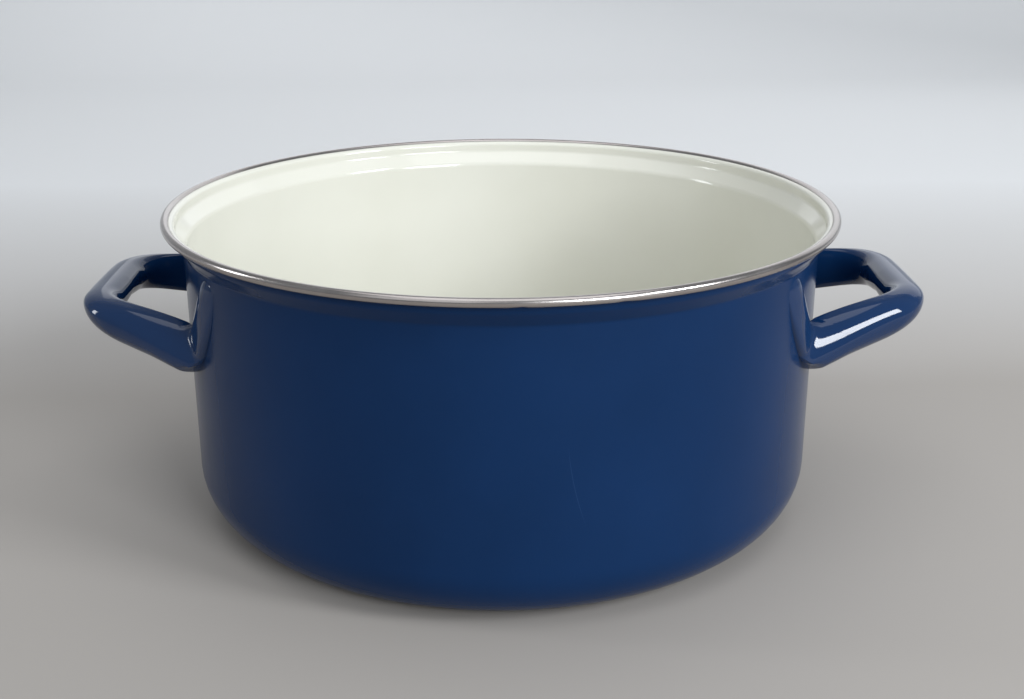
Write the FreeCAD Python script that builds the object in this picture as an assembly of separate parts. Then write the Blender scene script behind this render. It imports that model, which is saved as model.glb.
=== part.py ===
import FreeCAD, Part
import math
import os

# A 24 cm enamelled casserole: a drawn steel body, a stainless band rolled round its lip,
# and two pressed loop handles welded to the wall. Millimetres, +Z up, origin at the
# centre of the base underside, handles along X.

# Body, one drawn sheet
body_diameter = 237.4        # outside of the straight wall
pot_height = 117.0           # from the base to the top of the rim band
wall = 1.3                   # steel with its enamel on both sides
base_corner_radius = 21.5    # outside radius between wall and base
foot_ring_diameter = 172.0   # inside of the flat ring that the pot stands on
base_dish = 0.7              # how far the middle of the base is raised
dish_slope_width = 5.0       # width of the slope round the raised middle
dish_bend = 7.0              # mid-sheet bend radius at both ends of that slope

# Mouth: the step that the lid sits on, and the turned-out lip
step_width = 3.8             # how far the mouth is wider than the wall, on the radius
step_low_depth = 10.6        # depth of the step's lower bend below the top
step_high_depth = 5.4        # depth of the step's upper bend below the top
step_bend = 3.0              # mid-sheet bend radius at both ends of the step
lip_bend = 0.45              # radius under the lip, where it leaves the mouth

# Rim band
band_sheet = 0.45            # thickness of the stainless strip
band_room = 0.5              # space between the lip's faces and the rolled strip
band_fit = 0.12              # clearance where the strip grips the lip

# Loop handle, seen from above: a bow joined to two legs that spread towards the wall
finger_gap = 26.2            # from the wall to the bow, in the middle
grip_width = 12.9            # width of the bow
leg_width = 10.9             # width of a leg where it meets the wall
gap_bow_length = 50.4        # length of the gap along the bow, to its unrounded corners
bow_level_length = 33.6      # middle part of the bow that stays level
gap_wall_length = 86.6       # length of the gap along the wall
gap_corner_radius = 10.7     # corners of the gap between bow and legs

# Loop handle, seen from the side: depths below the top of the pot
bow_top_depth = 27.5
bow_bottom_depth = 37.3
bow_widest_depth = 31.6      # where the bow stands out furthest
leg_top_depth = 35.6         # where the leg's upper limb reaches the wall
leg_bottom_depth = 53.0      # lowest point, where the leg passes into the tab
leg_widest_depth = 44.5      # where the leg stands out furthest, at the wall
limb_rise = 10.0             # how far the leg's upper limb sweeps up the tab

# Tab: the flange in which each leg ends, turned outwards along the wall
tab_length = 30.2            # along the wall, from the gap to the tab's far tip
tab_rise_length = 20.5       # part of that length over which its top edge rises
tab_thickness = 2.3          # standing proud of the wall
tab_clearance = 0.2          # between the tab's top edge and the start of the step
tab_tip_depth = 16.0         # depth of the tab's far tip below the top
tab_bury = 1.5               # overlap with the wall before the seat is cut to fit

# Soft joins between the handle's forms
top_join = 2.5               # between the tops of leg and tab
bottom_join = 0.8            # between the bottoms of leg and tab
tab_top_join = 3.0           # between the rising and the level part of the tab's top edge
swell_join = 1.3             # where the leg rises out of the tab

outside_radius = body_diameter / 2
middle_radius = outside_radius - wall / 2
mouth_radius = middle_radius + step_width
step_half_turn = math.atan2(step_width, step_low_depth - step_high_depth) / 2
step_start_height = pot_height - step_low_depth - step_bend * math.tan(step_half_turn)

half_gap = wall / 2 + band_fit
bead_radius = wall / 2 + band_room + band_sheet
bead_hollow = bead_radius - band_sheet
lip_height = pot_height - bead_radius
grip_radius = mouth_radius + wall / 2 + lip_bend + band_fit
bead_centre_radius = grip_radius + math.sqrt(bead_radius ** 2 - half_gap ** 2)
lip_end_radius = bead_centre_radius + math.sqrt(bead_hollow ** 2 - (wall / 2) ** 2) - band_fit

bow_distance = outside_radius + finger_gap
bow_end_angle = math.degrees(math.atan2(bow_level_length / 2, bow_distance))
gap_half_angle = math.degrees(math.asin(gap_wall_length / 2 / outside_radius))
tab_level_angle = gap_half_angle + math.degrees(tab_rise_length / outside_radius)
tab_end_angle = gap_half_angle + math.degrees(tab_length / outside_radius)
tab_top_height = step_start_height - tab_clearance


def unit(a, b):
    """Direction from a to b in a plane."""
    length = math.hypot(b[0] - a[0], b[1] - a[1])
    return (b[0] - a[0]) / length, (b[1] - a[1]) / length


def turn_between(a, b, c):
    """Signed turn at b, in radians, positive to the left."""
    d1 = unit(a, b)
    d2 = unit(b, c)
    return math.atan2(d1[0] * d2[1] - d1[1] * d2[0], d1[0] * d2[0] + d1[1] * d2[1])


def parallel_line(points, distance):
    """Corners of the line that runs at a distance to the left of the given one."""
    shifted = []
    for i, (x, y) in enumerate(points):
        before = unit(points[max(i - 1, 0)], points[max(i, 1)])
        after = unit(points[min(i, len(points) - 2)], points[min(i + 1, len(points) - 1)])
        share = distance / (1 + before[0] * after[0] + before[1] * after[1])
        shifted.append((x - share * (before[1] + after[1]), y + share * (before[0] + after[0])))
    return shifted


def in_plane(point):
    """A point of the radius-height plane, in space."""
    return FreeCAD.Vector(point[0], 0, point[1])


def rounded_edges(points, radii):
    """Straight runs through the points, joined by tangent arcs of the given radii."""
    edges = []
    start = points[0]
    for i, radius in enumerate(radii):
        a, b, c = points[i], points[i + 1], points[i + 2]
        half_turn = abs(turn_between(a, b, c)) / 2
        run_up = radius * math.tan(half_turn)
        d1 = unit(a, b)
        d2 = unit(b, c)
        first = (b[0] - d1[0] * run_up, b[1] - d1[1] * run_up)
        last = (b[0] + d2[0] * run_up, b[1] + d2[1] * run_up)
        inward = unit(b, ((first[0] + last[0]) / 2, (first[1] + last[1]) / 2))
        depth = radius / math.cos(half_turn) - radius
        middle = (b[0] + inward[0] * depth, b[1] + inward[1] * depth)
        edges.append(Part.LineSegment(in_plane(start), in_plane(first)).toShape())
        edges.append(Part.Arc(in_plane(first), in_plane(middle), in_plane(last)).toShape())
        start = last
    edges.append(Part.LineSegment(in_plane(start), in_plane(points[-1])).toShape())
    return edges


def body_line():
    """Mid-sheet line of the body from the base's centre to the lip, with its bends."""
    foot_radius = foot_ring_diameter / 2
    points = [
        (0, wall / 2 + base_dish),
        (foot_radius - dish_slope_width, wall / 2 + base_dish),
        (foot_radius, wall / 2),
        (middle_radius, wall / 2),
        (middle_radius, pot_height - step_low_depth),
        (mouth_radius, pot_height - step_high_depth),
        (mouth_radius, lip_height),
        (lip_end_radius, lip_height),
    ]
    corner_bend = base_corner_radius - wall / 2
    mouth_bend = lip_bend + wall / 2
    bends = [dish_bend, dish_bend, corner_bend, step_bend, step_bend, mouth_bend]
    return points, bends


def body_face_line(distance):
    """One face of the sheet: its corners, and its edges with their bends."""
    points, bends = body_line()
    corners = parallel_line(points, distance)
    radii = []
    for i, bend in enumerate(bends):
        left = math.copysign(1, turn_between(points[i], points[i + 1], points[i + 2]))
        radii.append(bend - left * distance)
    return corners, rounded_edges(corners, radii)


def turned(edges):
    """Solid turned about the pot's axis from a closed run of edges."""
    section = Part.Face(Part.Wire(Part.__sortEdges__(edges)))
    return section.revolve(FreeCAD.Vector(0, 0, 0), FreeCAD.Vector(0, 0, 1), 360)


def pot_body():
    """The drawn shell: dished base, wall, step and turned-out lip in one sheet."""
    outer, outer_edges = body_face_line(-wall / 2)
    inner, inner_edges = body_face_line(wall / 2)
    lip_edge = Part.LineSegment(in_plane(outer[-1]), in_plane(inner[-1])).toShape()
    axis_edge = Part.LineSegment(in_plane(inner[0]), in_plane(outer[0])).toShape()
    return turned(outer_edges + inner_edges + [lip_edge, axis_edge])


def filled_body():
    """All that lies inside the body's outer face, to cut the handles' seats with."""
    outer, outer_edges = body_face_line(-wall / 2)
    top = (0, outer[-1][1])
    top_edge = Part.LineSegment(in_plane(outer[-1]), in_plane(top)).toShape()
    axis_edge = Part.LineSegment(in_plane(top), in_plane(outer[0])).toShape()
    return turned(outer_edges + [top_edge, axis_edge])


def bead_point(across, up):
    """A point of the radius-height plane, measured from the bead's centre."""
    return in_plane((bead_centre_radius + across, lip_height + up))


def rim_band():
    """The stainless strip, rolled to a C round the lip and open towards the pot."""
    outer_tip = math.sqrt(bead_radius ** 2 - half_gap ** 2)
    inner_tip = math.sqrt(bead_hollow ** 2 - half_gap ** 2)
    outer_low, outer_high = bead_point(-outer_tip, -half_gap), bead_point(-outer_tip, half_gap)
    inner_low, inner_high = bead_point(-inner_tip, -half_gap), bead_point(-inner_tip, half_gap)
    return turned([
        Part.Arc(outer_low, bead_point(bead_radius, 0), outer_high).toShape(),
        Part.LineSegment(outer_high, inner_high).toShape(),
        Part.Arc(inner_high, bead_point(bead_hollow, 0), inner_low).toShape(),
        Part.LineSegment(inner_low, outer_low).toShape(),
    ])


def loop_distance(angle, bow, corner, corner_radius, leg_direction):
    """Distance from the pot's axis to one side of the loop, seen from above.

    The side is a straight bow across X, a rounded corner and a straight leg.
    """
    ray = (math.cos(math.radians(angle)), math.sin(math.radians(angle)))
    turn = math.acos(leg_direction[1])
    run_up = corner_radius * math.tan(turn / 2)
    arc_end = (bow + leg_direction[0] * run_up, corner + leg_direction[1] * run_up)
    if ray[1] * bow <= ray[0] * (corner - run_up):
        return bow / ray[0]
    if ray[1] * arc_end[0] >= ray[0] * arc_end[1]:
        normal = (leg_direction[1], -leg_direction[0])
        return (normal[0] * bow + normal[1] * corner) / (normal[0] * ray[0] + normal[1] * ray[1])
    centre = (bow - corner_radius, corner - run_up)
    along = centre[0] * ray[0] + centre[1] * ray[1]
    across_squared = centre[0] ** 2 + centre[1] ** 2 - along ** 2
    return along + math.sqrt(corner_radius ** 2 - across_squared)


def gap_side():
    """Corner and root of the loop's side towards the gap, seen from above."""
    corner = (bow_distance, gap_bow_length / 2)
    root = (math.sqrt(outside_radius ** 2 - gap_wall_length ** 2 / 4), gap_wall_length / 2)
    return corner, root


def gap_distance(angle):
    """Distance from the pot's axis to the loop's side towards the gap."""
    corner, root = gap_side()
    return loop_distance(angle, corner[0], corner[1], gap_corner_radius, unit(corner, root))


def outer_distance(angle):
    """Distance from the pot's axis to the loop's side away from the pot."""
    corner, root = gap_side()
    direction = unit(corner, root)
    half_turn = math.acos(direction[1]) / 2
    outer_corner = (bow_distance + grip_width, corner[1] + grip_width * math.tan(half_turn))
    outer_root = (root[0] + leg_width * direction[1], root[1] - leg_width * direction[0])
    outer_direction = unit(outer_corner, outer_root)
    outer_radius = gap_corner_radius + grip_width
    return loop_distance(angle, outer_corner[0], outer_corner[1], outer_radius, outer_direction)


def larger(a, b, rounding):
    """The larger of two values, with the corner between them rounded."""
    return (a + b + math.hypot(a - b, rounding)) / 2


def within(value):
    """The value, held between 0 and 1."""
    return min(1.0, max(0.0, value))


def ease(value):
    """Soft step from 0 to 1 while the value goes from 0 to 1."""
    return within(value) ** 2 * (3 - 2 * within(value))


def ease_near_wall(angle, start, length):
    """Soft step along the leg: start and length are shares of the angle where it meets the wall."""
    return ease((angle / gap_half_angle - start) / length)


def leg_share(angle, limit):
    """0 where the level bow ends and 1 where the leg meets the wall, levelling off at a limit."""
    rounding = 0.08
    share = (angle - bow_end_angle) / (gap_half_angle - bow_end_angle)
    return max(0.0, -larger(-share, -limit, rounding))


def leg_edges(angle):
    """Bottom and top of the loop: level on the bow, deeper and lower towards the wall."""
    top_limit = 1.06
    bottom_limit = 1.2
    late_fall = 3.3          # the top edge falls mostly close to the wall
    top_share = leg_share(angle, top_limit) ** late_fall
    bottom_share = leg_share(angle, bottom_limit) / bottom_limit
    top = bow_top_depth + (leg_top_depth - bow_top_depth) * top_share
    bottom = bow_bottom_depth + (leg_bottom_depth - bow_bottom_depth) * bottom_share
    return pot_height - bottom, pot_height - top


def tab_edges(angle):
    """Bottom and top edge of the tab: a sweep up to the tip below, a rising line and a round corner above."""
    sweep_power = 1.5        # 1 is a straight lower edge, 2 a quarter of an ellipse
    corner_power = 3         # 2 is an elliptic far corner, more is squarer
    along = max(0.0, (angle - gap_half_angle) / (tab_end_angle - gap_half_angle))
    climb = (angle - gap_half_angle) / (tab_level_angle - gap_half_angle)
    rounding = within((angle - tab_level_angle) / (tab_end_angle - tab_level_angle))
    tip = pot_height - tab_tip_depth
    root_bottom = pot_height - leg_bottom_depth
    root_top = pot_height - leg_top_depth
    bottom = tip - (tip - root_bottom) * (1 - along ** sweep_power) ** (1 / sweep_power)
    rising = root_top + (tab_top_height - root_top) * climb
    top = -larger(-rising, -tab_top_height, tab_top_join)
    drop = (tab_top_height - tip) * (1 - math.sqrt(1 - rounding ** corner_power))
    return bottom, top - drop


def leg_bulge(angle, height, widest, leg_top, bottom):
    """How far the leg stands out at a height: 1 at its widest line, 0 at its top and bottom.

    Close to the wall the upper limb sweeps up the tab, and both limbs grow hollow.
    """
    power = 2.1              # a little fuller than an ellipse
    least = 1.0              # least height of a limb
    hollow_above = 2.2
    sweep = 1 + hollow_above * ease_near_wall(angle, start=0.7, length=0.4)
    flare = 1 + ease_near_wall(angle, start=0.95, length=0.2)
    limb = leg_top + limb_rise * ease_near_wall(angle, start=0.78, length=0.46) - widest
    above = within((height - widest) / max(least, limb))
    below = within((widest - height) / max(least, widest - bottom))
    return (1 - above ** power) ** (sweep / power) * (1 - below ** power) ** (flare / power)


def tab_dome(level):
    """The tab's thickness across its height, as a share: flat in the middle, round at both edges."""
    return (1 - level ** 4) ** (1 / 2.5)


def tab_height(angle):
    """How far the tab stands proud of the wall: even, then fading out at its far tip."""
    tip_power = 2.5
    fading = within((angle - tab_level_angle) / (tab_end_angle - tab_level_angle))
    return tab_thickness * math.sqrt(1 - fading ** tip_power)


def handle_outline(angle):
    """Section of the handle in the plane through the pot's axis at an angle from X.

    Two lines from the bottom to the top, away from the pot and towards it. The leg is an
    oval with a flat side to the gap, and it merges into the tab's low dome on the wall.
    """
    steps = 80
    merge_angle = 4.0        # degrees over which the leg passes into the tab
    gap_side_share = 0.45    # share of the width that lies on the gap's side of the section
    leg_bottom, leg_top = leg_edges(angle)
    tab_bottom, tab_top = tab_edges(angle)
    bottom = larger(leg_bottom, tab_bottom, bottom_join)
    top = larger(leg_top, tab_top, top_join)
    share = leg_share(angle, 1.0)
    widest = pot_height - bow_widest_depth - (leg_widest_depth - bow_widest_depth) * share
    shoulder = gap_side_share * (grip_width + (leg_width - grip_width) * share)
    middle = gap_distance(angle) + shoulder
    flatness = 2.15 + 2 * share
    seat = outside_radius - tab_bury
    overhang = outer_distance(angle) - outside_radius - tab_thickness
    swell = swell_join * math.log1p(math.exp(overhang / swell_join))
    merge = ease((angle - gap_half_angle) / merge_angle)
    outer_side = []
    inner_side = []
    for i in range(steps + 1):
        level = -math.cos(math.pi * i / steps)
        height = (top + bottom) / 2 + (top - bottom) / 2 * level
        bulge = leg_bulge(angle, height, widest, leg_top, bottom)
        leg_outer = middle + (outer_distance(angle) - middle) * bulge
        leg_inner = middle - shoulder * (1 - abs(level) ** flatness) ** (1 / flatness)
        tab_outer = seat + (tab_bury + tab_height(angle)) * tab_dome(level) + swell * bulge
        outer_side.append((leg_outer + (tab_outer - leg_outer) * merge, height))
        inner_side.append((leg_inner + (seat - leg_inner) * merge, height))
    return outer_side, inner_side


def evenly_spaced(line, count):
    """Points at even distances along a line of many short runs, both ends included."""
    lengths = [0.0]
    for a, b in zip(line, line[1:]):
        lengths.append(lengths[-1] + math.hypot(b[0] - a[0], b[1] - a[1]))
    points = []
    run = 0
    for i in range(count):
        wanted = lengths[-1] * i / (count - 1)
        while run < len(line) - 2 and lengths[run + 1] < wanted:
            run += 1
        share = (wanted - lengths[run]) / (lengths[run + 1] - lengths[run])
        a, b = line[run], line[run + 1]
        points.append((a[0] + (b[0] - a[0]) * share, a[1] + (b[1] - a[1]) * share))
    return points


def section_curve(angle):
    """The handle's section at an angle as one closed smooth curve in space."""
    outer_count = 13
    inner_count = 9
    outer_side, inner_side = handle_outline(abs(angle))
    outer_points = evenly_spaced(outer_side, outer_count)
    inner_points = evenly_spaced(inner_side, inner_count)
    sine = math.sin(math.radians(angle))
    cosine = math.cos(math.radians(angle))
    ring = outer_points + inner_points[-2:0:-1]
    points = [FreeCAD.Vector(r * cosine, r * sine, z) for r, z in ring]
    places = [float(i) for i in range(len(points) + 1)]
    curve = Part.BSplineCurve()
    curve.interpolate(Points=points, PeriodicFlag=True, Parameters=places)
    return curve


def skin_through(curves):
    """One smooth skin through closed curves that share their knots, closed by a flat cap at each end."""
    degree = 3
    rings = [curve.getPoles() for curve in curves]
    places = [float(i) for i in range(len(curves))]
    lines = []
    for row in zip(*rings):
        line = Part.BSplineCurve()
        line.interpolate(Points=list(row), Parameters=places)
        lines.append(line)
    grid = [list(ring) for ring in zip(*[line.getPoles() for line in lines])]
    skin = Part.BSplineSurface()
    skin.buildFromPolesMultsKnots(
        grid, lines[0].getMultiplicities(), curves[0].getMultiplicities(),
        lines[0].getKnots(), curves[0].getKnots(), False, True, degree, degree)
    ends = [Part.Face(Part.Wire(skin.uIso(place).toShape())) for place in (places[0], places[-1])]
    shell = Part.makeCompound([skin.toShape()] + ends)
    shell.sewShape()
    solid = Part.makeSolid(shell.Shells[0])
    return solid if solid.Volume > 0 else solid.reversed()


def section_angles():
    """Angles of the sections from tab to tab: even on the loop, closer together towards each tab's tip."""
    leg_steps = 14
    tab_steps = 12
    left_at_tip = 0.7        # part of a step that stays between the last section and the tip
    half = [gap_half_angle * i / leg_steps for i in range(1, leg_steps + 1)]
    for i in range(1, tab_steps + 1):
        quarter = math.pi / 2 * i / (tab_steps + left_at_tip)
        half.append(gap_half_angle + (tab_end_angle - gap_half_angle) * math.sin(quarter))
    return [-angle for angle in reversed(half)] + [0.0] + half


def loop_handle():
    """The pressed handle: one skin through its sections, seated on the wall."""
    solid = skin_through([section_curve(angle) for angle in section_angles()])
    return solid.cut(filled_body()).Solids[0]


def main():
    os.makedirs("parts", exist_ok=True)
    handle_right = loop_handle()
    handle_left = handle_right.copy()
    handle_left.rotate(FreeCAD.Vector(0, 0, 0), FreeCAD.Vector(0, 0, 1), 180)
    pieces = {
        "pot_body": pot_body(),
        "rim_band": rim_band(),
        "handle_right": handle_right,
        "handle_left": handle_left,
    }
    for name, shape in pieces.items():
        shape.exportStep("parts/" + name + ".step")
        box = shape.optimalBoundingBox(False)
        corners = (box.XMin, box.YMin, box.ZMin, box.XMax, box.YMax, box.ZMax)
        print(name, "solids", len(shape.Solids), "valid", shape.isValid(),
              "volume", round(shape.Volume), "box", [round(value, 2) for value in corners])


main()
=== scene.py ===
import math
import bpy
import numpy as np
from mathutils import Matrix


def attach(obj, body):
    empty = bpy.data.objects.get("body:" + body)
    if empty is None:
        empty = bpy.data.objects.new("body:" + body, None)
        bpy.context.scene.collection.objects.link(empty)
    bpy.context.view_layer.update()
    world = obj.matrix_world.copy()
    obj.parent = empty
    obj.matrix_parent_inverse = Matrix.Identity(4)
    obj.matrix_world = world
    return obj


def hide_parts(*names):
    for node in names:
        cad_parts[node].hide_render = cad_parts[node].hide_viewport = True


# An enamelled casserole: blue outside, cream inside, a stainless band on its lip and two loop handles.
# Metres, +Z up. The pot's axis is the Z axis, and the handles lie along X.

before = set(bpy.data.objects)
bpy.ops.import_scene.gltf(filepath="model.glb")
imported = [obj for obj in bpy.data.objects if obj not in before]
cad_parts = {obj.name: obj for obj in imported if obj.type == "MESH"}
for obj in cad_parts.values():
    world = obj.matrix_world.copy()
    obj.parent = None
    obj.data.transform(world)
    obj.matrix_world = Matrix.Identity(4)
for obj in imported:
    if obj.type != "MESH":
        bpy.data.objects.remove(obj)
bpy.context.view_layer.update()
print("stage: frame loaded")


# Lines and surfaces shared by the pieces

def unitVector(a, b):
    # direction from a to b: (b - a) / |b - a|
    step = np.subtract(b, a)
    return step / np.hypot(step[0], step[1])


def parallelLine(corners, distance):
    # corners of the line at a distance to the left: p + distance * (nBefore + nAfter) / (1 + dBefore . dAfter)
    moved = []
    last = len(corners) - 1
    for i, corner in enumerate(corners):
        before = unitVector(corners[max(i - 1, 0)], corners[max(i, 1)])
        after = unitVector(corners[min(i, last - 1)], corners[min(i + 1, last)])
        share = distance / (1 + before @ after)
        moved.append((corner[0] - share * (before[1] + after[1]), corner[1] + share * (before[0] + after[0])))
    return moved


def roundedLine(corners, radii, arcSteps):
    # straight runs joined by tangent arcs: an arc starts r * tan(turn / 2) before its corner
    runs = [np.array([corners[0]])]
    for i, radius in enumerate(radii):
        before = unitVector(corners[i], corners[i + 1])
        after = unitVector(corners[i + 1], corners[i + 2])
        turn = math.atan2(before[0] * after[1] - before[1] * after[0], before @ after)
        side = math.copysign(1, turn)
        start = np.array(corners[i + 1]) - before * radius * math.tan(abs(turn) / 2)
        normal = np.array((-before[1], before[0])) * side
        centre = start + normal * radius
        swept = np.linspace(0, turn, arcSteps + 1)[:, None]
        spoke = -normal * radius
        turned = np.hstack((spoke[0] * np.cos(swept) - spoke[1] * np.sin(swept),
                            spoke[0] * np.sin(swept) + spoke[1] * np.cos(swept)))
        runs.append(centre + turned)
    runs.append(np.array([corners[-1]]))
    return np.vstack(runs)


def turnedGrid(profile, around):
    # profile (r, z) carried round the axis: (r cos a, r sin a, z)
    angle = np.linspace(0, 2 * math.pi, around, endpoint=False)[None, :]
    radius, height = profile[:, 0:1], profile[:, 1:2]
    return np.stack((radius * np.cos(angle), radius * np.sin(angle), height + 0 * angle), axis=-1)


def gridQuads(rows, columns, closeRows, closeColumns):
    # four corners of each cell of a grid whose vertex (i, j) is numbered i * columns + j
    i = np.arange(rows if closeRows else rows - 1)[:, None]
    j = np.arange(columns if closeColumns else columns - 1)[None, :]
    down, right = (i + 1) % rows, (j + 1) % columns
    cells = np.stack(np.broadcast_arrays(i * columns + j, i * columns + right,
                                         down * columns + right, down * columns + j), axis=-1)
    return cells.reshape(-1, 4)


def ringFan(pole, ring, forwards):
    # triangles from a pole to the edges of a closed ring
    following = np.roll(ring, -1)
    first, second = (ring, following) if forwards else (following, ring)
    return np.stack((np.full_like(ring, pole), first, second), axis=-1)


def meshObject(name, points, faces, materials, node, inner=None):
    # a smooth mesh that rides on the root and replaces a CAD node; inner marks the faces of the second material
    mesh = bpy.data.meshes.new(name)
    mesh.from_pydata(points.reshape(-1, 3).tolist(), [], [row.tolist() for group in faces for row in group])
    for material in materials:
        mesh.materials.append(material)
    mesh.polygons.foreach_set("use_smooth", np.ones(len(mesh.polygons), dtype=bool))
    if inner is not None:
        mesh.polygons.foreach_set("material_index", inner.astype(np.int32))
    mesh.update()
    mesh.validate()
    mesh.set_sharp_from_angle(angle=math.radians(50))
    piece = bpy.data.objects.new(name, mesh)
    bpy.context.scene.collection.objects.link(piece)
    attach(piece, "root")
    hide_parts(node)
    print("stage:", name, len(mesh.polygons), "faces")
    return piece


# Materials

def newMaterial(name):
    # an empty material with its node tree and its shader
    material = bpy.data.materials.new(name)
    material.use_nodes = True
    tree = material.node_tree
    return material, tree, tree.nodes["Principled BSDF"]


def addNode(tree, kind, settings=None, **links):
    # a node with its settings; a link is a value or another node's output, and i0 is the first input
    node = tree.nodes.new(kind)
    for key, value in (settings or {}).items():
        setattr(node, key, value)
    for key, value in links.items():
        socket = node.inputs[int(key[1:])] if key[0] == "i" and key[1:].isdigit() else node.inputs[key]
        if isinstance(value, bpy.types.NodeSocket):
            tree.links.new(value, socket)
        else:
            socket.default_value = value
    return node


def noise(tree, place, scale, detail):
    # soft noise of 0 to 1, in waves of about 1 / scale metres
    return addNode(tree, "ShaderNodeTexNoise", Vector=place, Scale=scale, Detail=detail).outputs["Fac"]


def ramp(tree, factor, start, end):
    # a blend between two stops, each a factor and its colour
    node = addNode(tree, "ShaderNodeValToRGB", Fac=factor)
    for element, (position, colour) in zip(node.color_ramp.elements, (start, end)):
        element.position = position
        element.color = (*colour, 1)
    return node.outputs["Color"]


def spread(tree, factor, low, high):
    # a factor of 0 to 1 spread over low to high
    node = addNode(tree, "ShaderNodeMapRange", Value=factor)
    node.inputs["To Min"].default_value = low
    node.inputs["To Max"].default_value = high
    return node.outputs["Result"]


def bump(tree, height, distance):
    # relief of a height of 0 to 1 times a distance in metres
    return addNode(tree, "ShaderNodeBump", Height=height, Distance=distance).outputs["Normal"]


def calculate(tree, operation, a, b=0.0):
    # one sum on values or outputs of other nodes
    return addNode(tree, "ShaderNodeMath", {"operation": operation}, i0=a, i1=b).outputs[0]


def fade(tree, value, start, end):
    # 1 up to the start, falling to 0 at the end
    node = addNode(tree, "ShaderNodeMapRange", {"interpolation_type": "SMOOTHSTEP"}, Value=value)
    for socket, number in (("From Min", start), ("From Max", end), ("To Min", 1.0), ("To Max", 0.0)):
        node.inputs[socket].default_value = number
    return node.outputs["Result"]


blueEnamel = {
    "deep": (0.0035, 0.0225, 0.078),      # darker patches of the coat
    "clear": (0.0045, 0.0265, 0.092),     # lighter patches
    "patchScale": 18,
    "glossScale": 60,
}
# The handles' coat is glossier than the wall's
wallFinish = {"roughness": (0.15, 0.20), "specular": 0.12, "waveScale": 900, "waveDepth": 0.000012}
handleFinish = {"roughness": (0.04, 0.08), "specular": 0.5, "waveScale": 160, "waveDepth": 0.000006}
scratch = {
    "bend": (4.60, -0.692, 0.0462),       # x = bend[0] * z^2 + bend[1] * z + bend[2], on the front
    "middle": 0.052,
    "halfLength": 0.016,
    "fullHalf": 0.0064,                   # it fades out beyond this
    "halfWidth": 0.00016,
    "colour": (0.030, 0.075, 0.180),
    "strength": 0.38,
}


def scratchShare(tree, place):
    # 1 on the hairline scratch and 0 off it: near its line in x, within its ends in z, and only in front
    split = addNode(tree, "ShaderNodeSeparateXYZ", Vector=place).outputs
    square, slope, offset = scratch["bend"]
    sloped = calculate(tree, "ADD", calculate(tree, "MULTIPLY", split["Z"], square), slope)
    line = calculate(tree, "ADD", calculate(tree, "MULTIPLY", sloped, split["Z"]), offset)
    aside = calculate(tree, "ABSOLUTE", calculate(tree, "SUBTRACT", split["X"], line))
    fromMiddle = calculate(tree, "ABSOLUTE", calculate(tree, "SUBTRACT", split["Z"], scratch["middle"]))
    share = calculate(tree, "MULTIPLY", fade(tree, aside, 0.0, scratch["halfWidth"]),
                      fade(tree, fromMiddle, scratch["fullHalf"], scratch["halfLength"]))
    share = calculate(tree, "MULTIPLY", share, calculate(tree, "LESS_THAN", split["Y"], 0.0))
    return calculate(tree, "MULTIPLY", share, scratch["strength"])


def makeBlueEnamel(name, finish, scratched=False):
    # colour and gloss vary softly with two noises; a finer noise gives the fired coat its waves
    material, tree, shader = newMaterial(name)
    place = addNode(tree, "ShaderNodeTexCoord").outputs["Object"]
    coat = ramp(tree, noise(tree, place, blueEnamel["patchScale"], 4),
                (0.3, blueEnamel["deep"]), (0.7, blueEnamel["clear"]))
    if scratched:
        coat = addNode(tree, "ShaderNodeMixRGB", Fac=scratchShare(tree, place), Color1=coat,
                       Color2=(*scratch["colour"], 1)).outputs["Color"]
    gloss = spread(tree, noise(tree, place, blueEnamel["glossScale"], 3), *finish["roughness"])
    waves = bump(tree, noise(tree, place, finish["waveScale"], 2), finish["waveDepth"])
    tree.links.new(coat, shader.inputs["Base Color"])
    tree.links.new(gloss, shader.inputs["Roughness"])
    tree.links.new(waves, shader.inputs["Normal"])
    shader.inputs["Specular IOR Level"].default_value = finish["specular"]
    return material


creamEnamel = {
    "warm": (0.705, 0.70, 0.62),
    "pale": (0.745, 0.74, 0.67),
    "patchScale": 14,
    "roughness": (0.06, 0.11),
    "glossScale": 40,
    "waveScale": 90,
    "waveDepth": 0.00001,
}
steelBand = {
    "dull": (0.40, 0.37, 0.355),
    "bright": (0.50, 0.465, 0.45),
    "patchScale": 35,
    "roughness": (0.16, 0.30),
    "glossScale": 70,
    "waveScale": 150,
    "waveDepth": 0.000004,
}


def makePlainCoat(name, coat, colours, details, metallic):
    # one noise between two colours, one for the gloss and one for fine waves, each with its own detail
    material, tree, shader = newMaterial(name)
    place = addNode(tree, "ShaderNodeTexCoord").outputs["Object"]
    first, second = (coat[colour] for colour in colours)
    patches = noise(tree, place, coat["patchScale"], details[0])
    gloss = noise(tree, place, coat["glossScale"], details[1])
    waves = noise(tree, place, coat["waveScale"], details[2])
    tree.links.new(ramp(tree, patches, (0.3, first), (0.7, second)), shader.inputs["Base Color"])
    tree.links.new(spread(tree, gloss, *coat["roughness"]), shader.inputs["Roughness"])
    tree.links.new(bump(tree, waves, coat["waveDepth"]), shader.inputs["Normal"])
    shader.inputs["Metallic"].default_value = metallic
    return material


wallBlue = makeBlueEnamel("wallBlue", wallFinish, scratched=True)
handleBlue = makeBlueEnamel("handleBlue", handleFinish)
cream = makePlainCoat("creamEnamel", creamEnamel, ("warm", "pale"), (3, 3, 2), 0.0)
stainless = makePlainCoat("stainlessBand", steelBand, ("dull", "bright"), (5, 4, 2), 1.0)
print("stage: materials")


# Pot body: one bent sheet from the middle of the base to the lip

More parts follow.
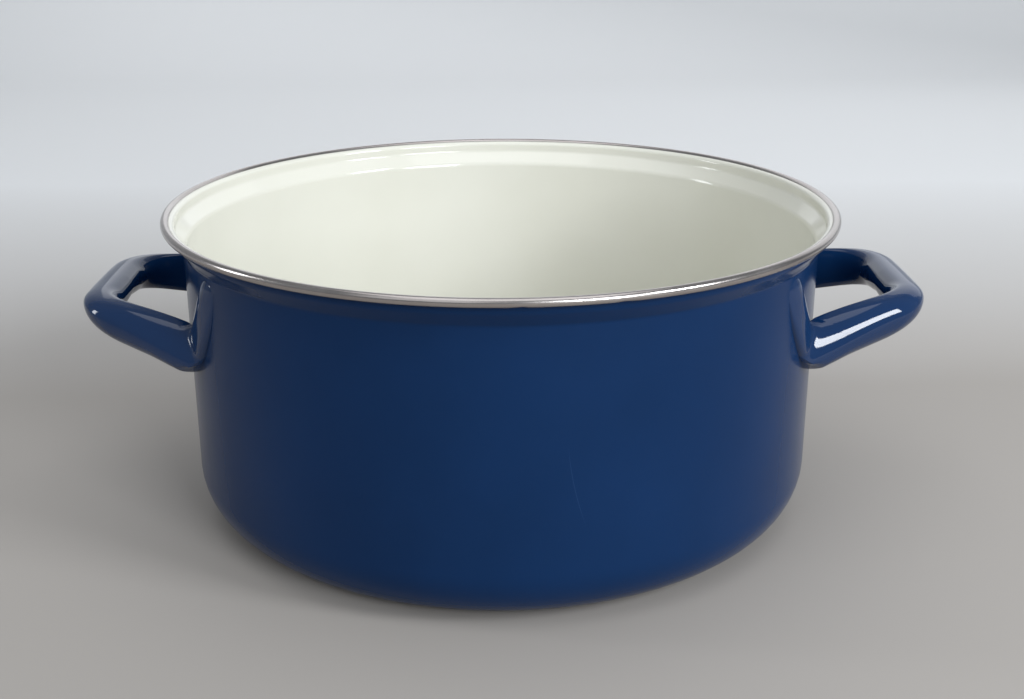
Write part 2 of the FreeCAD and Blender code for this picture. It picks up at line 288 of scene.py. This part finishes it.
pot = {
    "diameter": 0.2374,           # outside of the straight wall
    "height": 0.117,              # to the top of the band
    "wall": 0.0013,
    "baseCorner": 0.0215,         # outside radius between wall and base
    "footRing": 0.172,            # inside of the ring it stands on
    "dish": 0.0007,               # rise of the base's middle
    "dishSlope": 0.005,
    "dishBend": 0.007,
    "stepWidth": 0.0038,          # how far the mouth is wider than the wall
    "stepLowDepth": 0.0106,
    "stepHighDepth": 0.0054,
    "stepBend": 0.003,
    "lipBend": 0.00045,
    "around": 288,
    "arcSteps": 12,
}
band = {
    "sheet": 0.00045,
    "room": 0.0005,               # between the lip's faces and the rolled strip
    "fit": 0.00012,               # where the strip grips the lip
    "around": 384,
    "arcSteps": 30,
}

wallRadius = pot["diameter"] / 2
middleRadius = wallRadius - pot["wall"] / 2
mouthRadius = middleRadius + pot["stepWidth"]
halfGap = pot["wall"] / 2 + band["fit"]
beadRadius = pot["wall"] / 2 + band["room"] + band["sheet"]
beadHollow = beadRadius - band["sheet"]
lipHeight = pot["height"] - beadRadius
beadCentre = (mouthRadius + pot["wall"] / 2 + pot["lipBend"] + band["fit"]
              + math.sqrt(beadRadius ** 2 - halfGap ** 2))
lipEnd = beadCentre + math.sqrt(beadHollow ** 2 - (pot["wall"] / 2) ** 2) - band["fit"]


def bodyProfile():
    # both faces of the sheet: the mid-line's parallels at half a thickness, outer face first
    half = pot["wall"] / 2
    raised = half + pot["dish"]
    foot = pot["footRing"] / 2
    corners = [(0, raised), (foot - pot["dishSlope"], raised), (foot, half), (middleRadius, half),
               (middleRadius, pot["height"] - pot["stepLowDepth"]),
               (mouthRadius, pot["height"] - pot["stepHighDepth"]),
               (mouthRadius, lipHeight), (lipEnd, lipHeight)]
    bends = np.array((pot["dishBend"], pot["dishBend"], pot["baseCorner"] - half,
                      pot["stepBend"], pot["stepBend"], pot["lipBend"] + half))
    turnsLeft = np.array((-1, 1, 1, -1, 1, -1))
    outer = roundedLine(parallelLine(corners, -half), bends + turnsLeft * half, pot["arcSteps"])
    inner = roundedLine(parallelLine(corners, half), bends - turnsLeft * half, pot["arcSteps"])
    return outer, inner[::-1]


def makePotBody():
    # both faces turned round the axis, with a pole under the base and one on the floor; cream starts at the lip
    outer, inner = bodyProfile()
    rim = outer[1:], inner[:-1]
    grid = turnedGrid(np.vstack(rim), pot["around"])
    rows, columns = grid.shape[:2]
    points = np.vstack(([[0, 0, outer[0, 1]]], grid.reshape(-1, 3), [[0, 0, inner[-1, 1]]]))
    quads = gridQuads(rows, columns, False, True) + 1
    ring = np.arange(columns)
    under = ringFan(0, ring + 1, False)
    floor = ringFan(len(points) - 1, ring + 1 + (rows - 1) * columns, True)
    creamRow = len(rim[0]) - 1
    creamFaces = np.concatenate((np.repeat(np.arange(rows - 1) >= creamRow, columns),
                                 np.zeros(columns, bool), np.ones(columns, bool)))
    return meshObject("potBody", points, [quads, under, floor], [wallBlue, cream], "pot_body",
                      creamFaces)


# Rim band: a strip rolled to a C round the lip, open towards the pot, with two small dents in front

dents = [
    {"across": 0.0056, "width": 0.0011, "depth": 0.00035},      # across is measured from the middle to the right
    {"across": 0.0371, "width": 0.0012, "depth": 0.00035},
]


def makeRimBand():
    # C-shaped profile: an outer arc and an inner arc about the bead's centre, both open at +-halfGap
    outerOpening = math.asin(halfGap / beadRadius)
    innerOpening = math.asin(halfGap / beadHollow)
    outerTurn = np.linspace(-math.pi + outerOpening, math.pi - outerOpening, band["arcSteps"] + 1)
    innerTurn = np.linspace(math.pi - innerOpening, -math.pi + innerOpening, band["arcSteps"] + 1)
    section = np.vstack((np.stack((np.cos(outerTurn), np.sin(outerTurn)), -1) * beadRadius,
                         np.stack((np.cos(innerTurn), np.sin(innerTurn)), -1) * beadHollow))
    grid = turnedGrid(section + (beadCentre, lipHeight), band["around"])
    for dent in dents:
        # up by depth * exp(-(distance / width)^2) on the bead's lower front, and back by 0.6 of that
        near = np.exp(-((grid[..., 0] - dent["across"]) / dent["width"]) ** 2) * (grid[..., 1] < 0)
        low = np.clip((lipHeight - grid[..., 2]) / beadRadius, 0, 1) ** 1.5
        push = dent["depth"] * near * low
        grid[..., 1] += push * 0.6
        grid[..., 2] += push
    rows, columns = grid.shape[:2]
    return meshObject("rimBand", grid, [gridQuads(rows, columns, True, True)], [stainless],
                      "rim_band")


# Loop handles: a section in each plane through the pot's axis, from tab to tab

handleRight = {
    "side": 1,
    "fingerGap": 0.0262,          # from the wall to the bow
    "gripWidth": 0.0129,
    "legWidth": 0.0109,
    "gapBowLength": 0.0504,
    "gapWallLength": 0.0866,
    "gapCorner": 0.020,
    "outerCorner": 0.0236,
    "bowTopDepth": 0.0275,        # depths below the top of the pot
    "bowBottomDepth": 0.0373,
    "bowWidestDepth": 0.0316,
    "legBottomDepth": 0.0512,
    "legWidestDepth": 0.0446,
    "topFall": 0.0062,            # how much lower the top is at the wall
    "topFallLength": 0.045,
    "bowRidge": 0.45,             # share of the width from the gap side to the top's crest
    "legRidge": 0.12,
    "ridgeShift": (0.35, 0.65),   # shares of the gap's half angle: where the crest's shift starts, and its length
    "tabLength": 0.0292,
    "tabLevelFrom": 0.70,         # share of the tab's length from which its upper edge is level
    "tabThickness": 0.0027,
    "tabClearance": 0.0002,
    "tabTipDepth": 0.016,
    "tabRootDepth": 0.0350,
    "tabBottomDepth": 0.0528,
    "tabBury": 0.0006,
    "tabSink": 0.0002,            # how far its thin end lies inside the wall
    "mergeTurn": 2.5,             # degrees over which the leg's section turns into the tab's
    "sinkTurn": 6.0,              # degrees over which the leg's top sinks into the tab
    "crease": 0.0012,             # rounding where the leg meets its tab
    "seat": 0.0003,               # how far the buried side reaches into the wall
    "sections": 150,              # in each half
    "ringSteps": 80,
    "passes": 30,                 # rounds of the section's search
}
handleLeft = dict(handleRight, side=-1, fingerGap=0.0240, bowTopDepth=0.0286, topFall=0.0056)


def larger(a, b, rounding):
    # rounded maximum: (a + b + sqrt((a - b)^2 + rounding^2)) / 2
    return (a + b + np.hypot(a - b, rounding)) / 2


def ease(value):
    # 3 v^2 - 2 v^3 between 0 and 1
    value = np.clip(value, 0, 1)
    return value * value * (3 - 2 * value)


def loopDistance(angle, bow, corner, cornerRadius, direction):
    # distance from the axis to a straight bow x = bow, then a corner arc, then a straight leg
    rayX, rayY = np.cos(angle), np.sin(angle)
    runUp = cornerRadius * math.tan(math.acos(direction[1]) / 2)
    arcEnd = (bow + direction[0] * runUp, corner + direction[1] * runUp)
    leg = (direction[1] * bow - direction[0] * corner) / (direction[1] * rayX - direction[0] * rayY)
    centre = (bow - cornerRadius, corner - runUp)
    along = centre[0] * rayX + centre[1] * rayY
    across = centre[0] ** 2 + centre[1] ** 2 - along ** 2
    arc = along + np.sqrt(np.maximum(cornerRadius ** 2 - across, 0))
    onBow = rayY * bow <= rayX * (corner - runUp)
    onLeg = rayY * arcEnd[0] >= rayX * arcEnd[1]
    return np.where(onBow, bow / rayX, np.where(onLeg, leg, arc))


def handleAngles(shape):
    # even steps to the gap's end, then gap angle + tab angle * sin(step), which tighten towards the tip
    gapAngle = math.asin(shape["gapWallLength"] / 2 / wallRadius)
    tabAngle = shape["tabLength"] / wallRadius
    steps = shape["sections"] // 2
    quarter = np.linspace(0, math.pi / 2 * 0.97, steps + 1)[1:]
    half = np.concatenate((np.linspace(0, gapAngle, steps), gapAngle + tabAngle * np.sin(quarter)))
    return np.concatenate((-half[:0:-1], half)), gapAngle, tabAngle


def handlePlan(shape, angle):
    # seen from above, the gap side and the outer side are loops of bow, corner arc and leg, by angle
    bow = wallRadius + shape["fingerGap"]
    bowCorner = shape["gapBowLength"] / 2
    root = (math.sqrt(wallRadius ** 2 - shape["gapWallLength"] ** 2 / 4), shape["gapWallLength"] / 2)
    legWay = unitVector((bow, bowCorner), root)
    outerBow = (bow + shape["gripWidth"], bowCorner + shape["gripWidth"] * math.tan(math.acos(legWay[1]) / 2))
    outerRoot = (root[0] + shape["legWidth"] * legWay[1], root[1] - shape["legWidth"] * legWay[0])
    gapSide = loopDistance(angle, bow, bowCorner, shape["gapCorner"], legWay)
    outerSide = loopDistance(angle, *outerBow, shape["outerCorner"], unitVector(outerBow, outerRoot))
    legLength = (root[0] - bow) * legWay[0] + root[1] * legWay[1] + shape["gripWidth"] / 2

    def station(part):
        # way along the leg from the wall at a part of the width, 0 on the gap side: (root - p) . direction
        reach = gapSide + (outerSide - gapSide) * part
        return (root[0] - reach * np.cos(angle)) * legWay[0] + (root[1] - reach * np.sin(angle)) * legWay[1]

    return gapSide, outerSide, legLength, station


def legLines(shape, legLength):
    # three heights by the way from the wall: the leg's top, its widest place and its underside
    top = pot["height"]

    def topLine(way):
        # bow top - fall * (1 - way / length)^1.6
        return (top - shape["bowTopDepth"]
                - shape["topFall"] * np.clip(1 - way / shape["topFallLength"], 0, 1.3) ** 1.6)

    def widestLine(way):
        # root height + rise * (1 - (1 - way / length)^1.4)
        rise = shape["legWidestDepth"] - shape["bowWidestDepth"]
        return top - shape["legWidestDepth"] + rise * (1 - np.clip(1 - way / legLength, 0, 1.3) ** 1.4)

    def bottomLine(way):
        # root height + rise * (way / length)^1.25, both counted from 3 mm inside the wall
        rise = shape["legBottomDepth"] - shape["bowBottomDepth"]
        return top - shape["legBottomDepth"] + rise * np.clip((way + 0.003) / (legLength + 0.003), 0, 1) ** 1.25

    return topLine, widestLine, bottomLine


def tabOutline(shape, beyond):
    # beyond is 0 at the gap's end and 1 at the tip
    top = pot["height"]
    halfTurn = math.atan2(pot["stepWidth"], pot["stepLowDepth"] - pot["stepHighDepth"]) / 2
    tabTop = top - pot["stepLowDepth"] - pot["stepBend"] * math.tan(halfTurn) - shape["tabClearance"]
    tip, rootTop, rootBottom = (top - shape[depth] for depth in ("tabTipDepth", "tabRootDepth", "tabBottomDepth"))
    # underside: tip - drop * (1 - beyond^1.5)^(1 / 1.5)
    underside = tip - (tip - rootBottom) * (1 - np.clip(beyond, 0, 1) ** 1.5) ** (1 / 1.5)
    # upper edge: rises by (beyond / level share)^1.5, is level, then falls by 1 - sqrt(1 - fading^3)
    rise = np.maximum(0, beyond / shape["tabLevelFrom"])
    rising = rootTop + (tabTop - rootTop) * rise ** 1.5 - 0.01 * (beyond <= 0)
    fading = np.clip((beyond - shape["tabLevelFrom"]) / (1 - shape["tabLevelFrom"]), 0, 1)
    upper = -larger(-rising, -tabTop, 0.003) - (tabTop - tip) * (1 - np.sqrt(1 - fading ** 3))
    # the face thins by 1 - thinning^2 over the tab's outer half
    thinning = np.clip(beyond * 2 - 1, 0, 1)
    proud = (shape["tabThickness"] + shape["tabSink"]) * (1 - thinning ** 2) - shape["tabSink"]
    return np.maximum(underside, rootBottom), upper, proud


def handleGrid(shape):
    # rows are the sections by angle from X, columns run up the outer side and down the gap side
    signed, gapAngle, tabAngle = handleAngles(shape)
    angle = np.abs(signed)[:, None]
    past = angle - gapAngle
    gapSide, outerSide, legLength, station = handlePlan(shape, angle)
    topLine, widestLine, bottomLine = legLines(shape, legLength)
    tabBottom, tabEdge, proud = tabOutline(shape, past / tabAngle)

    # the crest shifts from the middle of the bow to the gap side of the leg
    shiftFrom, shiftLength = shape["ridgeShift"]
    shift = ease((angle - shiftFrom * gapAngle) / (shiftLength * gapAngle))
    lean = shape["bowRidge"] + (shape["legRidge"] - shape["bowRidge"]) * shift
    ridge = gapSide + (outerSide - gapSide) * lean
    ridgeTop = topLine(station(lean + 0.12 * (1 - lean)))

    # lowest and highest point of each section, and the leg's own crest
    merge = ease(past / math.radians(shape["mergeTurn"]))
    low = bottomLine(station(lean)) * (1 - merge) + tabBottom * merge
    high = larger(ridgeTop - 0.02 * np.clip(past / math.radians(shape["sinkTurn"]), 0, 1), tabEdge, 0.0015)
    crest = np.where(past <= 0, high, ridgeTop - 0.02 * merge)
    level = -np.cos(np.linspace(0, math.pi, shape["ringSteps"] + 1))[None, :]
    height = (high + low) / 2 + (high - low) / 2 * level

    # outer side: (1 - above^power)^(1 / power) * (1 - below^lowPower)^(1 / lowPower), 1 at the widest line
    bulge = np.ones_like(height)
    for _ in range(shape["passes"]):
        way = station(lean + (1 - lean) * bulge)
        peak, widest, base = np.maximum(topLine(way), crest), widestLine(way), np.maximum(bottomLine(way), low)
        above = np.clip((height - widest) / (peak - widest), 0, 1)
        below = np.clip((widest - height) / np.maximum(0.001, widest - base), 0, 1)
        power = 1.75 + 0.35 * ease(way / 0.03)
        lowPower = 2.8 - 0.7 * ease((way + 0.005) / 0.02)
        bulge = (bulge + (1 - above ** power) ** (1 / power) * (1 - below ** lowPower) ** (1 / lowPower)) / 2

    # gap side: (1 - part^2.1)^(1 / 2.1), 1 half-way up
    hollow = np.zeros_like(height)
    for _ in range(shape["passes"]):
        way = station(lean * (1 - hollow))
        peak, base = np.maximum(topLine(way), crest), bottomLine(way)
        part = np.clip(np.abs(height - (peak + base) / 2) / ((peak - base) / 2), 0, 1)
        hollow = (hollow + (1 - part ** 2.1) ** (1 / 2.1)) / 2

    # tab face: a dome with a fuller lower edge, (1 - level^6)^0.5 below and (1 - level^2)^0.6 above
    dome = np.where(level < 0, (1 - level ** 6) ** 0.5, (1 - level ** 2) ** 0.6)
    tabFace = wallRadius - shape["tabBury"] + (shape["tabBury"] + proud) * dome
    legFace = ridge + (outerSide - ridge) * bulge
    sunken = 0.004 * merge * ease((height - ridgeTop) / 0.0015)
    joined = larger(tabFace, legFace - sunken, shape["crease"])
    outer = legFace * (1 - merge) + joined * merge
    inner = (ridge - (ridge - gapSide) * hollow) * (1 - merge) + (wallRadius - shape["tabBury"]) * merge

    # the buried side lies a little deeper than the outer side's edges, so that no faces coincide
    buried = wallRadius - shape["seat"]
    radius = np.hstack((np.maximum(outer, buried), np.maximum(inner, buried - 0.0001)[:, -2:0:-1]))
    height = np.hstack((height, height[:, -2:0:-1]))
    turned = signed[:, None]
    return np.stack((radius * np.cos(turned) * shape["side"], radius * np.sin(turned) * shape["side"], height), -1)


def makeHandle(name, shape, node):
    # the sections' grid, closed by a pole in the middle of each end section
    grid = handleGrid(shape)
    rows, columns = grid.shape[:2]
    ends = grid[0].mean(axis=0), grid[-1].mean(axis=0)
    points = np.vstack((grid.reshape(-1, 3), ends))
    ring = np.arange(columns)
    first = ringFan(rows * columns, ring, True)
    last = ringFan(rows * columns + 1, ring + (rows - 1) * columns, False)
    return meshObject(name, points, [gridQuads(rows, columns, False, True)[:, ::-1], first, last],
                      [handleBlue], node)


makePotBody()
makeRimBand()
makeHandle("handleRight", handleRight, "handle_right")
makeHandle("handleLeft", handleLeft, "handle_left")


# Stage: pale floor with a swept backdrop

stage = {
    "front": -6.0,
    "back": 1.1,
    "bend": 0.5,
    "height": 3.0,
    "halfWidth": 5.0,
    "floorColour": (0.38, 0.355, 0.33),
    "farColour": (0.78, 0.79, 0.80),
    "farFrom": 0.10,              # distance behind the pot where the floor starts to pale
    "farTo": 0.55,
    "cloud": 0.03,                # how far a soft noise shifts that change
    "cloudScale": 3,
    "roughness": 0.75,
}


def makeStage():
    # floor, quarter arc and wall: one profile in (y, z) carried along x
    turn = np.linspace(0, math.pi / 2, 25)
    arc = np.stack((stage["back"] + stage["bend"] * np.sin(turn), stage["bend"] * (1 - np.cos(turn))), -1)
    profile = np.vstack(([stage["front"], 0], arc, [stage["back"] + stage["bend"], stage["height"]]))
    across = np.array((-1, 1)) * stage["halfWidth"]
    grid = np.stack(np.broadcast_arrays(across[None, :], profile[:, 0:1], profile[:, 1:2]), -1)
    mesh = bpy.data.meshes.new("stageSweep")
    quads = gridQuads(len(profile), 2, False, False)[:, ::-1]
    mesh.from_pydata(grid.reshape(-1, 3).tolist(), [], quads.tolist())
    mesh.polygons.foreach_set("use_smooth", np.ones(len(mesh.polygons), dtype=bool))
    material, tree, shader = newMaterial("paleFloor")
    place = addNode(tree, "ShaderNodeTexCoord").outputs["Object"]
    depth = addNode(tree, "ShaderNodeSeparateXYZ", Vector=place).outputs["Y"]
    cloud = spread(tree, noise(tree, place, stage["cloudScale"], 2), -stage["cloud"], stage["cloud"])
    colour = ramp(tree, calculate(tree, "ADD", depth, cloud),
                  (stage["farFrom"], stage["floorColour"]), (stage["farTo"], stage["farColour"]))
    tree.links.new(colour, shader.inputs["Base Color"])
    shader.inputs["Roughness"].default_value = stage["roughness"]
    mesh.materials.append(material)
    sweep = bpy.data.objects.new("stageSweep", mesh)
    bpy.context.scene.collection.objects.link(sweep)


# Light: tall panels right, front right and left, a soft overhead, a front fill and a wide panel behind.
# Each lamp stands at an azimuth from +X, an elevation and a distance, and faces the pot.

panelColour = (0.94, 0.97, 1.0)
softColour = (0.97, 0.98, 1.0)
lights = {
    "rightPanel": {"azimuth": -30, "elevation": 28.5, "distance": 1.5, "size": (0.36, 0.46), "power": 10.0,
                   "colour": panelColour},
    "frontRightPanel": {"azimuth": -60, "elevation": 20, "distance": 1.6, "size": (0.60, 0.65), "power": 13.5,
                        "colour": panelColour},
    "leftPanel": {"azimuth": 178, "elevation": 17, "distance": 1.5, "size": (0.20, 0.55), "power": 3.0,
                  "colour": panelColour},
    "overhead": {"azimuth": -90, "elevation": 84, "distance": 1.9, "size": (1.8, 1.8), "power": 12.5,
                 "colour": softColour},
    "frontFill": {"azimuth": -115, "elevation": 35, "distance": 1.8, "size": (1.2, 1.2), "power": 3.0,
                  "colour": softColour},
    "backPanel": {"azimuth": 74, "elevation": 24, "distance": 1.25, "size": (2.0, 0.7), "power": 2.4,
                  "colour": softColour},
}
worldLight = {"colour": (0.90, 0.95, 1.0), "strength": 0.30}


def makeLights():
    # place = aim + distance * (cos a cos e, sin a cos e, sin e); the lamp's -Z looks back at the aim
    aim = np.array((0.0, 0.0, 0.08))
    for name, light in lights.items():
        lamp = bpy.data.lights.new(name, "AREA")
        lamp.shape = "RECTANGLE"
        lamp.size, lamp.size_y = light["size"]
        lamp.energy = light["power"]
        lamp.color = light["colour"]
        holder = bpy.data.objects.new(name, lamp)
        a, e = math.radians(light["azimuth"]), math.radians(light["elevation"])
        back = np.array((math.cos(a) * math.cos(e), math.sin(a) * math.cos(e), math.sin(e)))
        place = aim + light["distance"] * back
        across = np.cross((0, 0, 1), back)
        across = across / np.linalg.norm(across)
        up = np.cross(back, across)
        holder.matrix_world = Matrix(np.vstack((np.column_stack((across, up, back, place)), (0, 0, 0, 1))).tolist())
        bpy.context.scene.collection.objects.link(holder)
    world = bpy.data.worlds.new("softRoom")
    world.use_nodes = True
    world.node_tree.nodes["Background"].inputs["Color"].default_value = (*worldLight["colour"], 1)
    world.node_tree.nodes["Background"].inputs["Strength"].default_value = worldLight["strength"]
    bpy.context.scene.world = world


# Camera: the photograph's view

view = {
    "place": (0.0, -0.4987, 0.2342),
    "down": 0.342,                # radians below the horizon
    "turn": 0.008,                # radians to the right of +Y
    "roll": -0.002,
    "lens": 47.1,                 # mm on a 36 mm wide frame
}


def makeCamera():
    # forward = (sin t cos d, cos t cos d, -sin d), right = (cos t, -sin t, 0), both turned by the roll
    t, d, r = view["turn"], view["down"], view["roll"]
    forward = np.array((math.sin(t) * math.cos(d), math.cos(t) * math.cos(d), -math.sin(d)))
    level = np.array((math.cos(t), -math.sin(t), 0.0))
    upright = np.cross(level, forward)
    right = math.cos(r) * level + math.sin(r) * upright
    up = math.cos(r) * upright - math.sin(r) * level
    data = bpy.data.cameras.new("photoView")
    data.lens, data.sensor_width = view["lens"], 36.0
    data.clip_start, data.clip_end = 0.01, 20.0
    camera = bpy.data.objects.new("photoView", data)
    camera.matrix_world = Matrix((
        (right[0], up[0], -forward[0], view["place"][0]),
        (right[1], up[1], -forward[1], view["place"][1]),
        (right[2], up[2], -forward[2], view["place"][2]),
        (0, 0, 0, 1)))
    bpy.context.scene.collection.objects.link(camera)
    bpy.context.scene.camera = camera


makeStage()
makeLights()
makeCamera()
bpy.context.scene.view_settings.view_transform = "Standard"
print("stage: floor, lights and camera")
